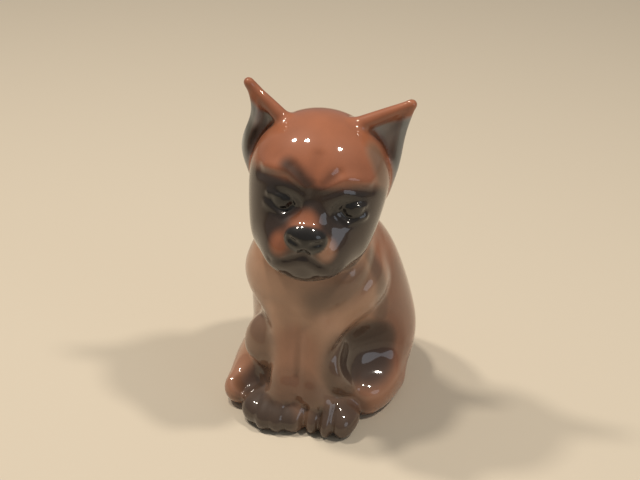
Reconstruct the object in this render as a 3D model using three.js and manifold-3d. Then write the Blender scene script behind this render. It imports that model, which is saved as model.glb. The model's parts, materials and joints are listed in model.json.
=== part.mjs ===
// A seated porcelain puppy with cropped ears, as nine castings that are luted together with slip.
// Every casting is a closed skin drawn round a few blended forms.
// Millimetres, +Z up. The dog faces -Y, its left side is +X, and the origin lies on the table under the belly.
import * as THREE from 'three';
import { mergeVertices } from 'three/addons/utils/BufferGeometryUtils.js';
import Module from 'manifold-3d';

const wasm = await Module();
wasm.setup();

// Castings and their joins
const WALL = 3;
const SEAM = 0.3;
const NECK_BORE = 13;
const NECK_BORE_REACH = 9;
const POUR_HOLE = 11;
const POUR_HOLE_BACK = 12;
const POUR_HOLE_REACH = 6;

// Rump: an egg whose lower end is cut off flat by the table
const RUMP_WIDTH = 49;
const RUMP_DEPTH = 42;
const RUMP_HEIGHT = 54;
const RUMP_SUNK = 10;
const RUMP_BACK = 9;
const RUMP_SIDE = 1.3;

// Trunk, above and before the rump's middle
const TRUNK_WIDTH = 43;
const TRUNK_DEPTH = 38;
const TRUNK_HEIGHT = 44;
const TRUNK_RISE = 21;
const TRUNK_LEAN = 5;

// Belly, between the hind legs
const BELLY_WIDTH = 30;
const BELLY_DEPTH = 26;
const BELLY_HEIGHT = 28;
const BELLY_LEAN = 17;
const BELLY_SUNK = 3.5;

// Chest, a bib that stands proud of the trunk
const CHEST_WIDTH = 40;
const CHEST_DEPTH = 31;
const CHEST_HEIGHT = 33;
const CHEST_RISE = 4.5;
const CHEST_LEAN = 10.5;

// Neck: the body's stub ends in a flat seat, and the nape above it is cast with the head
const NECK_WIDTH = 29;
const NECK_RISE = 9;
const NECK_STUB = 6;
const NECK_SETBACK = 2;
const NAPE_WIDTH = 25;

// Forelegs and paws
const FORELEG_TOP_WIDTH = 13;
const FORELEG_ANKLE_WIDTH = 8.4;
const FORELEG_SPREAD = 4.4;
const FORELEG_ANKLE_SPREAD = 3.8;
const FORELEG_DROP = 8;
const FORELEG_LEAN = 8.5;
const ANKLE_HEIGHT = 12;
const ANKLE_LEAN = 5;
const PAW_WIDTH = { left: 14.5, right: 19 };
const PAW_LENGTH = { left: 15.5, right: 17 };
const PAW_HEIGHT = 9.5;
const PAW_SUNK = 0.7;
const PAW_SPREAD = { left: 11.8, right: 7 };
const PAW_LEAN = { left: 1, right: 2.4 };
const PAW_TURN = 10;

// Hind legs: haunch, knee and foot. The right knee is drawn up higher, and its foot stands further forward
const HAUNCH_WIDTH = 20.6;
const HAUNCH_DEPTH = 34;
const HAUNCH_HEIGHT = 24;
const HAUNCH_SPREAD = 15;
const HAUNCH_LEAN = 8;
const HAUNCH_LIFT = 9;
const HAUNCH_TURN = 8;
const KNEE_WIDTH = 12.5;
const KNEE_DEPTH = 13;
const KNEE_HEIGHT = 18;
const KNEE_INSET = { left: 4.4, right: 2.7 };
const KNEE_LEAN = 15.4;
const KNEE_RISE = { left: 8.5, right: 13 };
const FOOT_WIDTH = 10.8;
const FOOT_SUNK = 0.6;
const FOOT_LENGTH = { left: 11.5, right: 14.5 };
const FOOT_OUTSET = { left: 5, right: 5.8 };
const FOOT_TOE_IN = { left: 4, right: 0.8 };
const FOOT_LEAN = 2.5;

// Hollow of the flank before each haunch, measured from the knee
const FLANK_HOLLOW_WIDTH = { left: 21.4, right: 10 };
const FLANK_HOLLOW_DEPTH = { left: 14, right: 9 };
const FLANK_HOLLOW_HEIGHT = { left: 17.3, right: 11 };
const FLANK_HOLLOW_OUTSET = { left: 9.9, right: 4.1 };
const FLANK_HOLLOW_LEAN = { left: -2.9, right: 5.1 };
const FLANK_HOLLOW_RISE = { left: 3.8, right: -10.5 };
const FLANK_HOLLOW_TURN = { left: 45, right: 0 };

// Tail stub
const TAIL_WIDTH = 8;
const TAIL_LENGTH = 10;
const TAIL_HEIGHT = 9;

// Head, measured from its own middle
const HEAD_RISE = 12;
const HEAD_LEAN = 7;
const HEAD_SIDE = 2.3;
const HEAD_YAW = 11;
const HEAD_ROLL = 7;
const SKULL_WIDTH = 38;
const SKULL_DEPTH = 36;
const SKULL_HEIGHT = 35;
const SKULL_RISE = 7;
const SKULL_SETBACK = 0.2;
const BROW_WIDTH = 4.4;
const BROW_PROUD = 1.2;
const BROW_RISE = 6.6;
const BROW_INNER_ANGLE = 11;
const BROW_OUTER_ANGLE = 53;
const SOCKET_WIDTH = 9;
const SOCKET_HEIGHT = 6.4;
const SOCKET_DEPTH = 2.4;
const SOCKET_ANGLE = { left: 33, right: 23 };
const SOCKET_DROP = 1.6;
const EYE_WIDTH = 6;
const EYE_HEIGHT = 5;
const EYE_DEPTH = 4.2;
const EYE_SUNK = 1.7;
const BRIDGE_WIDTH = 10;
const BRIDGE_SUNK = 3;
const BRIDGE_LENGTH = 7.4;
const BRIDGE_RISE = 6;
const CHEEK_WIDTH = 16.8;
const CHEEK_DEPTH = 24;
const CHEEK_HEIGHT = 24;
const CHEEK_SPREAD = 8.6;
const CHEEK_DROP = 4.5;
const CHEEK_LEAN = 4;
const MUZZLE_WIDTH = 19;
const MUZZLE_DEPTH = 17;
const MUZZLE_HEIGHT = 14;
const MUZZLE_DROP = 4.5;
const MUZZLE_LEAN = 13;
const LIP_WIDTH = 11.6;
const LIP_HEIGHT = 13;
const LIP_SPREAD = 5;
const LIP_DROP = 4;
const CHIN_WIDTH = 12;
const CHIN_HEIGHT = 9;
const CHIN_DROP = 8.5;
const NOSE_WIDTH = 10.4;
const NOSE_DEPTH = 6;
const NOSE_HEIGHT = 7.2;
const NOSE_LEAN = 7.5;
const NOSE_RISE = 3.5;

// Ears: hollow leaves whose two rims run from the skull to the tip. The outer rim swings out, then in
const EAR_LENGTH = { left: 21.5, right: 21 };
const EAR_OUTWARD_ANGLE = { left: 27, right: 24 };
const EAR_THICKNESS = 3;
const EAR_RIM = 1.3;
const EAR_CUP = 6.5;
const EAR_BOW = { left: 0.5, right: 1.8 };
const EAR_INNER_ANGLE = { left: 25, right: 39 };
const EAR_OUTER_ANGLE = 104;
const EAR_TURN = 20;
const EAR_SETBACK = 2.5;
const EAR_ROOT = 1;

// Fillets where forms of one casting run into each other
const BROAD_FILLET = 9;
const SOFT_FILLET = 5;
const FOLD_FILLET = 3;

// Colours of the glazes
const FAWN = 0xb88a6a;
const RUSSET = 0xa8664a;
const UMBER = 0x6a4a40;
const GLOSS = 0.12;

// Fineness of the skins
const BODY_SKIN = { sides: 40, rings: 30 };
const HEAD_SKIN = { sides: 60, rings: 44 };
const HOLLOW_SKIN = { sides: 26, rings: 18 };
const HIND_LEG_SKIN = { sides: 36, rings: 28 };
const FORELEG_SKIN = { sides: 22, rings: 20 };
const EAR_SKIN = { sides: 24, rings: 16 };
const BALL_SKIN = { sides: 20, rings: 12 };
const BORE_SIDES = 24;
const SEARCH_REACH = 90;
const SEARCH_STEP = 1;
const SEARCH_HALVINGS = 14;

// Shares of the way between two places at which a skin's spine starts or ends
const HIND_LEG_SPINE = 0.7;
const FORELEG_SPINE = 0.3;
const BODY_SPINE_START = 0.2;
const BODY_SPINE_END = 0.5;
const HEAD_SPINE = 0.5;

const UP = new THREE.Vector3(0, 0, 1);
const SIDES = { left: 1, right: -1 };
const vector = (x, y, z) => new THREE.Vector3(x, y, z);
const radians = THREE.MathUtils.degToRad;

// Forms: each gives the distance of a point from its surface, negative inside

function blob(middle, width, depth, height, turn = 0) {
  const half = vector(width / 2, depth / 2, height / 2);
  const local = vector();
  return (point) => {
    local.subVectors(point, middle).applyAxisAngle(UP, -turn).divide(half);
    const ratio = local.length();
    const steepness = local.divide(half).length();
    return steepness > 0 ? ratio * (ratio - 1) / steepness : -half.x;
  };
}

function limb(start, end, startWidth, endWidth) {
  const span = vector().subVectors(end, start);
  const offset = vector();
  return (point) => {
    offset.subVectors(point, start);
    const along = THREE.MathUtils.clamp(offset.dot(span) / span.lengthSq(), 0, 1);
    const radius = THREE.MathUtils.lerp(startWidth, endWidth, along) / 2;
    return offset.addScaledVector(span, -along).length() - radius;
  };
}

function softening(a, b, fillet) {
  const closeness = Math.max(fillet - Math.abs(a - b), 0) / fillet;
  return closeness * closeness * fillet / 4;
}

function blend(fillet, ...forms) {
  return (point) => forms
    .map((form) => form(point))
    .reduce((a, b) => Math.min(a, b) - softening(a, b, fillet));
}

function carve(fillet, form, hollow) {
  return (point) => {
    const a = form(point);
    const b = -hollow(point);
    return Math.max(a, b) + softening(a, b, fillet);
  };
}

// Skins: the points of a ball travel in from outside to the form, each towards its own place on a spine

function skin(form, spine, fineness, growth = 0) {
  const axis = spine.delta(vector()).normalize();
  const wrap = new THREE.SphereGeometry(1, fineness.sides, fineness.rings);
  wrap.applyQuaternion(new THREE.Quaternion().setFromUnitVectors(vector(0, 1, 0), axis));
  const points = wrap.attributes.position;
  const ray = vector();
  const root = vector();
  const probe = vector();
  const isOutside = (reach) => form(probe.copy(root).addScaledVector(ray, reach)) > growth;
  for (let i = 0; i < points.count; i += 1) {
    ray.fromBufferAttribute(points, i).normalize();
    spine.at(0.5 + ray.dot(axis) / 2, root);
    let inside = SEARCH_REACH;
    while (inside > SEARCH_STEP && isOutside(inside)) {
      inside -= SEARCH_STEP;
    }
    let outside = inside + SEARCH_STEP;
    for (let halving = 0; halving < SEARCH_HALVINGS; halving += 1) {
      const middle = (inside + outside) / 2;
      if (isOutside(middle)) {
        outside = middle;
      } else {
        inside = middle;
      }
    }
    points.setXYZ(i, ...probe.copy(root).addScaledVector(ray, inside).toArray());
  }
  return wrap;
}

// Solids: joined and cut

function solid(geometry) {
  geometry.deleteAttribute('normal');
  geometry.deleteAttribute('uv');
  const welded = mergeVertices(geometry);
  return new wasm.Manifold(new wasm.Mesh({
    numProp: 3,
    vertProperties: Float32Array.from(welded.attributes.position.array),
    triVerts: Uint32Array.from(welded.index.array),
  }));
}

function ball(middle, width, depth, height, turn = 0) {
  return new THREE.SphereGeometry(1, BALL_SKIN.sides, BALL_SKIN.rings)
    .rotateX(Math.PI / 2)
    .scale(width / 2, depth / 2, height / 2)
    .rotateZ(turn)
    .translate(...middle.toArray());
}

function box(low, high) {
  const size = vector().subVectors(high, low);
  const middle = vector().addVectors(low, high).multiplyScalar(0.5);
  return new THREE.BoxGeometry(...size.toArray()).translate(...middle.toArray());
}

function uprightBore(middle, reach, width) {
  return new THREE.CylinderGeometry(width / 2, width / 2, 2 * reach, BORE_SIDES)
    .rotateX(Math.PI / 2)
    .translate(...middle.toArray());
}

const largest = (part) => part.decompose().reduce((a, b) => (a.volume() > b.volume() ? a : b));

function piece(name, colour, part) {
  const { vertProperties, triVerts } = largest(part).getMesh();
  const geometry = new THREE.BufferGeometry();
  geometry.setAttribute('position', new THREE.BufferAttribute(vertProperties, 3));
  geometry.setIndex(new THREE.BufferAttribute(triVerts, 1));
  geometry.computeVertexNormals();
  const finish = new THREE.MeshStandardMaterial({ color: colour, roughness: GLOSS, metalness: 0 });
  const mesh = new THREE.Mesh(geometry, finish);
  mesh.name = name;
  return mesh;
}

// Places that the castings share
const rump = vector(RUMP_SIDE, RUMP_BACK, RUMP_HEIGHT / 2 - RUMP_SUNK);
const trunk = vector(0, rump.y - TRUNK_LEAN, rump.z + TRUNK_RISE);
const chest = vector(0, trunk.y - CHEST_LEAN, trunk.z + CHEST_RISE);
const neckLow = vector(0, chest.y + NECK_SETBACK, chest.z + NECK_RISE);
const neckTop = vector(0, neckLow.y, neckLow.z + NECK_STUB);
const headMiddle = vector(HEAD_SIDE, neckTop.y - HEAD_LEAN, neckTop.z + HEAD_RISE);
const belly = vector(0, rump.y - BELLY_LEAN, BELLY_HEIGHT / 2 - BELLY_SUNK);
const far = SEARCH_REACH;
const table = () => solid(box(vector(-far, -far, -far), vector(far, far, 0)));

const headPlace = new THREE.Group();
headPlace.position.copy(headMiddle);
headPlace.rotation.set(0, radians(HEAD_ROLL), radians(HEAD_YAW), 'ZXY');
headPlace.updateMatrixWorld();
const intoHead = headPlace.matrixWorld.clone().invert();

// Hind legs and the hollow of the flank before each haunch

function hindLegPlaces(word) {
  const side = SIDES[word];
  const haunch = vector(side * HAUNCH_SPREAD, rump.y - HAUNCH_LEAN, HAUNCH_LIFT);
  const knee = vector(
    haunch.x - side * KNEE_INSET[word],
    haunch.y - KNEE_LEAN,
    haunch.z + KNEE_RISE[word],
  );
  const heel = vector(
    haunch.x + side * FOOT_OUTSET[word],
    haunch.y - FOOT_LEAN,
    FOOT_WIDTH / 2 - FOOT_SUNK,
  );
  const toe = vector(heel.x - side * FOOT_TOE_IN[word], heel.y - FOOT_LENGTH[word], heel.z);
  const hollow = vector(
    knee.x + side * FLANK_HOLLOW_OUTSET[word],
    knee.y - FLANK_HOLLOW_LEAN[word],
    knee.z + FLANK_HOLLOW_RISE[word],
  );
  return { haunch, knee, heel, toe, hollow };
}

function flankHollow(word, growth) {
  const { hollow } = hindLegPlaces(word);
  const sizes = [FLANK_HOLLOW_WIDTH, FLANK_HOLLOW_DEPTH, FLANK_HOLLOW_HEIGHT]
    .map((size) => size[word] + 2 * growth);
  return solid(ball(hollow, ...sizes, radians(FLANK_HOLLOW_TURN[word])));
}

function hindLegSkin(word) {
  const { haunch, knee, heel, toe } = hindLegPlaces(word);
  const leg = blend(
    SOFT_FILLET,
    blob(haunch, HAUNCH_WIDTH, HAUNCH_DEPTH, HAUNCH_HEIGHT, radians(SIDES[word] * HAUNCH_TURN)),
    blob(knee, KNEE_WIDTH, KNEE_DEPTH, KNEE_HEIGHT),
    limb(heel, toe, FOOT_WIDTH, FOOT_WIDTH),
  );
  return skin(leg, new THREE.Line3(haunch, haunch.clone().lerp(knee, HIND_LEG_SPINE)), HIND_LEG_SKIN);
}

// Forelegs with their paws

function foreleg(word, growth) {
  const side = SIDES[word];
  const top = vector(side * FORELEG_SPREAD, chest.y - FORELEG_LEAN, chest.z - FORELEG_DROP);
  const ankle = vector(side * FORELEG_ANKLE_SPREAD, top.y - ANKLE_LEAN, ANKLE_HEIGHT);
  const paw = vector(side * PAW_SPREAD[word], ankle.y - PAW_LEAN[word], PAW_HEIGHT / 2 - PAW_SUNK);
  const form = blend(
    FOLD_FILLET,
    limb(top, ankle, FORELEG_TOP_WIDTH, FORELEG_ANKLE_WIDTH),
    limb(ankle, paw, FORELEG_ANKLE_WIDTH, PAW_HEIGHT),
  );
  const spine = new THREE.Line3(ankle.clone().lerp(paw, FORELEG_SPINE), top);
  const sizes = [PAW_WIDTH[word], PAW_LENGTH[word], PAW_HEIGHT].map((size) => size + 2 * growth);
  const foot = ball(paw, ...sizes, radians(-side * PAW_TURN));
  return solid(skin(form, spine, FORELEG_SKIN, growth)).add(solid(foot));
}

// Body, hollow, with a flat seat for the head

const bodySpine = new THREE.Line3(
  rump.clone().lerp(trunk, BODY_SPINE_START),
  chest.clone().lerp(trunk, BODY_SPINE_END),
);
const bodyForm = (() => {
  const torso = blend(
    BROAD_FILLET,
    blob(rump, RUMP_WIDTH, RUMP_DEPTH, RUMP_HEIGHT),
    blob(trunk, TRUNK_WIDTH, TRUNK_DEPTH, TRUNK_HEIGHT),
    blob(belly, BELLY_WIDTH, BELLY_DEPTH, BELLY_HEIGHT),
  );
  const chested = blend(FOLD_FILLET, torso, blob(chest, CHEST_WIDTH, CHEST_DEPTH, CHEST_HEIGHT));
  const necked = blend(SOFT_FILLET, chested, limb(neckLow, neckTop, NECK_WIDTH, NECK_WIDTH));
  const aboveSeat = (point) => neckTop.z - point.z;
  return carve(FOLD_FILLET, necked, aboveSeat);
})();
const bodySkin = (growth) => skin(bodyForm, bodySpine, BODY_SKIN, growth);
const roomForBody = solid(bodySkin(SEAM));

function bodyShell() {
  const floor = solid(box(vector(-far, -far, -far), vector(far, far, WALL)));
  const hollow = solid(skin(bodyForm, bodySpine, HOLLOW_SKIN, -WALL))
    .subtract(floor)
    .subtract(flankHollow('left', WALL))
    .subtract(flankHollow('right', WALL));
  const pourHole = uprightBore(vector(0, POUR_HOLE_BACK, 0), POUR_HOLE_REACH, POUR_HOLE);
  return solid(bodySkin(0))
    .subtract(table())
    .subtract(hollow)
    .subtract(solid(pourHole))
    .subtract(solid(neckBore()))
    .subtract(flankHollow('left', 0))
    .subtract(flankHollow('right', 0));
}

const neckBore = () => uprightBore(neckTop, NECK_BORE_REACH, NECK_BORE);

// Head, hollow, seated on the neck, in its own turned frame

const skull = vector(0, SKULL_SETBACK, SKULL_RISE);
const muzzle = vector(0, -MUZZLE_LEAN, -MUZZLE_DROP);
const headSpine = new THREE.Line3(muzzle.clone().lerp(skull, HEAD_SPINE), skull);
const nose = vector(0, muzzle.y - NOSE_LEAN, muzzle.z + NOSE_RISE);

function onForehead(side, angle, rise, proud) {
  const narrowing = Math.sqrt(1 - (2 * rise / SKULL_HEIGHT) ** 2);
  return vector(
    side * (narrowing * SKULL_WIDTH / 2 + proud) * Math.sin(radians(angle)),
    skull.y - (narrowing * SKULL_DEPTH / 2 + proud) * Math.cos(radians(angle)),
    skull.z + rise,
  );
}

const blindHeadForm = (() => {
  const cheek = (side) => blob(
    vector(side * CHEEK_SPREAD, -CHEEK_LEAN, -CHEEK_DROP),
    CHEEK_WIDTH,
    CHEEK_DEPTH,
    CHEEK_HEIGHT,
  );
  const lip = (side) => blob(
    vector(side * LIP_SPREAD, muzzle.y, muzzle.z - LIP_DROP),
    LIP_WIDTH,
    MUZZLE_DEPTH,
    LIP_HEIGHT,
  );
  const dome = blend(
    SOFT_FILLET,
    blob(skull, SKULL_WIDTH, SKULL_DEPTH, SKULL_HEIGHT),
    cheek(SIDES.left),
    cheek(SIDES.right),
    blob(muzzle, MUZZLE_WIDTH, MUZZLE_DEPTH, MUZZLE_HEIGHT),
    limb(neckTop.clone().applyMatrix4(intoHead), skull, NECK_WIDTH, NAPE_WIDTH),
  );
  const brow = (side) => {
    const [inner, middle, outer] = [0, 0.5, 1]
      .map((share) => THREE.MathUtils.lerp(BROW_INNER_ANGLE, BROW_OUTER_ANGLE, share))
      .map((angle) => onForehead(side, angle, BROW_RISE, BROW_PROUD - BROW_WIDTH / 2));
    return blend(SEAM, ...[inner, outer].map((end) => limb(middle, end, BROW_WIDTH, BROW_WIDTH)));
  };
  const bridgeFront = vector(0, nose.y + BRIDGE_SUNK, nose.z);
  const bridgeBack = vector(0, bridgeFront.y + BRIDGE_LENGTH, bridgeFront.z + BRIDGE_RISE);
  return blend(
    FOLD_FILLET,
    dome,
    lip(SIDES.left),
    lip(SIDES.right),
    brow(SIDES.left),
    brow(SIDES.right),
    limb(bridgeFront, bridgeBack, BRIDGE_WIDTH, BRIDGE_WIDTH),
    blob(vector(0, muzzle.y, muzzle.z - CHIN_DROP), CHIN_WIDTH, CHIN_WIDTH, CHIN_HEIGHT),
  );
})();
const headForm = Object.entries(SIDES).reduce((form, [word, side]) => {
  const socket = onForehead(side, SOCKET_ANGLE[word], -SOCKET_DROP, 0);
  const eye = socket.clone().setY(socket.y + EYE_SUNK);
  const hollowed = carve(FOLD_FILLET, form, blob(socket, SOCKET_WIDTH, SOCKET_DEPTH, SOCKET_HEIGHT));
  return blend(SEAM, hollowed, blob(eye, EYE_WIDTH, EYE_DEPTH, EYE_HEIGHT));
}, blindHeadForm);
const headSkin = (growth) => skin(headForm, headSpine, HEAD_SKIN, growth);
const roomForHead = solid(headSkin(SEAM));

function headShell() {
  const hollow = solid(skin(blindHeadForm, headSpine, HOLLOW_SKIN, -WALL));
  return solid(headSkin(0))
    .add(solid(ball(nose, NOSE_WIDTH, NOSE_DEPTH, NOSE_HEIGHT)))
    .subtract(roomForBody.transform(intoHead.toArray()))
    .subtract(hollow.subtract(solid(bodySkin(WALL).applyMatrix4(intoHead))))
    .subtract(solid(neckBore().applyMatrix4(intoHead)));
}

// Ears, in the head's frame: the ball's poles become root and tip, its girth the two faces of the leaf

function earSkin(word) {
  const side = SIDES[word];
  const onSkull = (angle) => vector(
    side * (SKULL_WIDTH / 2 - EAR_ROOT) * Math.sin(radians(angle)),
    EAR_SETBACK,
    skull.z + (SKULL_HEIGHT / 2 - EAR_ROOT) * Math.cos(radians(angle)),
  );
  const inner = onSkull(EAR_INNER_ANGLE[word]);
  const outer = onSkull(EAR_OUTER_ANGLE);
  const lean = radians(EAR_OUTWARD_ANGLE[word]);
  const tip = inner.clone().lerp(outer, 0.5)
    .addScaledVector(vector(side * Math.sin(lean), 0, Math.cos(lean)), EAR_LENGTH[word]);
  const outward = outer.clone().sub(inner).normalize();
  const turn = radians(EAR_TURN);
  const back = vector(-side * Math.sin(turn), Math.cos(turn), 0);
  const leaf = new THREE.SphereGeometry(1, EAR_SKIN.sides, EAR_SKIN.rings);
  const points = leaf.attributes.position;
  const onBall = vector();
  for (let i = 0; i < points.count; i += 1) {
    onBall.fromBufferAttribute(points, i);
    const along = Math.acos(-onBall.y) / Math.PI;
    const girth = Math.hypot(onBall.x, onBall.z);
    const across = girth > 0 ? onBall.x * Math.min(1, 2 * girth) / girth : 0;
    const face = girth > 0 ? onBall.z * Math.min(1, 2 * girth) / girth : 0;
    const low = inner.clone().lerp(tip, along);
    const high = outer.clone().lerp(tip, along);
    const cup = EAR_CUP * (1 - along) * (1 - across * across);
    high.x += side * EAR_BOW[word] * Math.sin(2 * Math.PI * along);
    const place = low.lerp(high, 0.5 + across / 2);
    place.addScaledVector(outward, EAR_RIM * across);
    place.addScaledVector(back, cup + EAR_THICKNESS / 2 * face);
    points.setXYZ(i, ...place.toArray());
  }
  if (word === 'left') {
    const order = leaf.index.array;
    for (let i = 0; i < order.length; i += 3) {
      [order[i], order[i + 1]] = [order[i + 1], order[i]];
    }
  }
  return leaf;
}

// Tail, on the back of the rump

function tailSkin() {
  const fall = (TAIL_HEIGHT - rump.z) / (RUMP_HEIGHT / 2);
  const root = vector(0, rump.y + RUMP_DEPTH / 2 * Math.sqrt(1 - fall * fall), TAIL_HEIGHT);
  const form = blob(root, TAIL_WIDTH, TAIL_LENGTH, TAIL_WIDTH);
  return skin(form, new THREE.Line3(root, root.clone().setY(root.y + 1)), HOLLOW_SKIN);
}

// Assembly

const figurine = new THREE.Group();
figurine.name = 'porcelain_puppy';
figurine.add(headPlace);
figurine.add(piece('body_shell', FAWN, bodyShell()));
figurine.add(piece('tail', RUSSET, solid(tailSkin()).subtract(roomForBody)));
headPlace.add(piece('head_shell', RUSSET, headShell()));
Object.entries(SIDES).forEach(([word, side]) => {
  const otherHalf = solid(box(
    vector(Math.min(-side * far, side * SEAM / 2), -far, -far),
    vector(Math.max(-side * far, side * SEAM / 2), far, far),
  ));
  const wholeForeleg = foreleg(word, 0)
    .subtract(roomForBody)
    .subtract(table())
    .subtract(otherHalf);
  const hindLeg = solid(hindLegSkin(word))
    .subtract(roomForBody)
    .subtract(foreleg(word, SEAM))
    .subtract(flankHollow(word, 0))
    .subtract(table());
  const ear = solid(earSkin(word)).subtract(roomForHead);
  figurine.add(piece(`${word}_foreleg`, FAWN, wholeForeleg));
  figurine.add(piece(`${word}_hind_leg`, RUSSET, hindLeg));
  headPlace.add(piece(`${word}_ear`, UMBER, ear));
});

export default figurine;
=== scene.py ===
"""Looks of a seated porcelain puppy: nine luted castings under one painted and glazed skin.

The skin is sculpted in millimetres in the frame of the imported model, then built in metres.
Places and sizes are written as (across, deep, high): the dog's left is +X, and its body faces -Y.
"""
import functools
import json
import math

import bpy
import numpy as np
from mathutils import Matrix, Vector

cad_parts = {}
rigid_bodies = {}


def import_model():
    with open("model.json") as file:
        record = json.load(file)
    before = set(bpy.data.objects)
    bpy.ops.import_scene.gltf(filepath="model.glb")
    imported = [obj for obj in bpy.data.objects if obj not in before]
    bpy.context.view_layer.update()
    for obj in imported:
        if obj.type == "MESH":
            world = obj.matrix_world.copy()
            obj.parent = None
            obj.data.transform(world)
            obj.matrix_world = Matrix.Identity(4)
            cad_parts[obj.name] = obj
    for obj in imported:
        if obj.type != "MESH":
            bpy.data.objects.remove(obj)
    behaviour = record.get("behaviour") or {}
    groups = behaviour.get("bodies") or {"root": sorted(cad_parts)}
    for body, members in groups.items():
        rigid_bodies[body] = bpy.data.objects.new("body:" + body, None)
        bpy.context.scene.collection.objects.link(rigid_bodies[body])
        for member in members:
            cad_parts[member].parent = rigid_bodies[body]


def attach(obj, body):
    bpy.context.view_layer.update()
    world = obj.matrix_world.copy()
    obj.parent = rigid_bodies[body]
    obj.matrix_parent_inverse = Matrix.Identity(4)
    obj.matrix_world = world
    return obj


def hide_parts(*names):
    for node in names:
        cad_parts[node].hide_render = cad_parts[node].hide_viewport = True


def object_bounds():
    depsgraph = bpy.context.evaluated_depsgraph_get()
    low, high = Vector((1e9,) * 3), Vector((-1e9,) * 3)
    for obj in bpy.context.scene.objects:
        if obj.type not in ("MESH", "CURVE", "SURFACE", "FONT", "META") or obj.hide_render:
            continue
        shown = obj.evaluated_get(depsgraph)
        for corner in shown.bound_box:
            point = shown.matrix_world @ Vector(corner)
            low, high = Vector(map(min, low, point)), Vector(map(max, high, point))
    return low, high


for leftover in list(bpy.data.objects):
    bpy.data.objects.remove(leftover)
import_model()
cad_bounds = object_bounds()

bl_info = {
    "name": "Porcelain puppy",
    "version": (1, 0, 0),
    "blender": (4, 5, 0),
    "location": "View3D > Sidebar > Porcelain",
    "description": "Builds the painted and glazed castings of a seated porcelain puppy",
    "category": "Object",
}

MM = 0.001
LEFT = 1
RIGHT = -1
SIDES = (LEFT, RIGHT)


def both(across, deep, high):
    """A place or direction of the left side, and its mirror image on the right."""
    return {LEFT: (across, deep, high), RIGHT: (-across, deep, high)}


# The head's own frame: its origin in the model's frame, and its turn and tilt to the left in degrees
HEAD_MIDDLE = (2.3, -11.5, 69.5)
HEAD_YAW = 11
HEAD_ROLL = 7


def along(values):
    """The values as a row of numbers that broadcasts over points."""
    return np.asarray(values, np.float32)


def turned(yaw=0.0, roll=0.0):
    """Columns are the axes of a frame rolled about Y, then yawed about Z, in degrees."""
    y = math.radians(yaw)
    r = math.radians(roll)
    about_z = np.array([[math.cos(y), -math.sin(y), 0], [math.sin(y), math.cos(y), 0], [0, 0, 1]])
    about_y = np.array([[math.cos(r), 0, math.sin(r)], [0, 1, 0], [-math.sin(r), 0, math.cos(r)]])
    return (about_z @ about_y).astype(np.float32)


HEAD_AXES = turned(HEAD_YAW, HEAD_ROLL)


def to_head(points):
    """Points of the model's frame, seen in the head's frame."""
    return (points - along(HEAD_MIDDLE)) @ HEAD_AXES


# Forms: the distance of points from a surface in millimetres, negative inside

# Keeps a division by a length of nothing from failing
TINY = 1e-6
# A carved line fades out within this many of its widths
LINE_REACH = 3


def blob(points, middle, size, yaw=0.0):
    """An egg of that width, depth and height."""
    local = points - along(middle)
    if yaw:
        local = local @ turned(yaw)
    half = along(size) / 2
    ratio = np.linalg.norm(local / half, axis=1)
    steepness = np.linalg.norm(local / (half * half), axis=1) + TINY
    return ratio * (ratio - 1) / steepness


def limb(points, start, end, start_width, end_width):
    """A rounded rod that tapers from one end to the other."""
    offset = points - along(start)
    span = along(end) - along(start)
    reach = np.clip(offset @ span / (span @ span), 0, 1)
    radius = (start_width + (end_width - start_width) * reach) / 2
    return np.linalg.norm(offset - reach[:, None] * span, axis=1) - radius


def join(a, b, fillet):
    """Two forms run together with a fillet."""
    closeness = np.maximum(fillet - np.abs(a - b), 0) / fillet
    return np.minimum(a, b) - closeness * closeness * fillet / 4


def cut(a, b, fillet):
    """Form a with form b taken out of it, with a rounded edge."""
    return -join(-a, b, fillet)


def run_together(points, eggs):
    """Eggs given as middle, size and fillet, each run into the ones before it."""
    form = None
    for middle, size, fillet in eggs.values():
        egg = blob(points, middle, size)
        form = egg if form is None else join(form, egg, fillet)
    return form


def path_distance(points, path):
    """How far points lie from a path of straight legs."""
    nearest = None
    for start, end in zip(path[:-1], path[1:]):
        leg = limb(points, start, end, 0, 0)
        nearest = leg if nearest is None else np.minimum(nearest, leg)
    return nearest


def mirrored(path, side):
    """A path of the left side, on that side."""
    return along(path) * along((side, 1, 1))


def carved(form, points, line, side=LEFT, start=(0, 0, 0)):
    """The form with a ridge, or a groove of negative height, along a line, mirrored and moved."""
    width, height, path = line
    path = mirrored(path, side) + along(start)
    reach = LINE_REACH * width
    near = ((points > path.min(0) - reach) & (points < path.max(0) + reach)).all(1)
    if near.any():
        away = path_distance(points[near], path) / width
        form[near] -= height * np.exp(-away * away)
    return form


def fade(distance, start, end):
    """1 up to start and 0 from end on, with a soft edge between."""
    share = np.clip((end - distance) / (end - start), 0, 1)
    return share * share * (3 - 2 * share)


# Body casting: middle, size and fillet of each egg
BODY_EGGS = {
    "rump": ((1.3, 9, 17), (50, 42, 54), 0),
    "back": ((0, 4, 38), (43, 38, 44), 10),
    "belly": ((0, -8, 10.5), (30, 26, 28), 5),
    "chest": ((0, -6.5, 43), (40, 31, 32), 3),
    "web between the paws": ((2.2, -19.6, 4), (11, 13, 11), 3),
    "filling by the right hind foot": ((-14, -15.5, 6), (10, 10, 14), 4),
}
# Neck: the places and widths of its lower and upper end
NECK = ((0, -3, 52), (2.5, -8, 62), 30, 26)
NECK_SEAT = 57.5


def body_form(points):
    """The body without its neck and limbs."""
    return run_together(points, BODY_EGGS)


def neck_form(points):
    """The neck, from the shoulders into the head."""
    return limb(points, *NECK)


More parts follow.
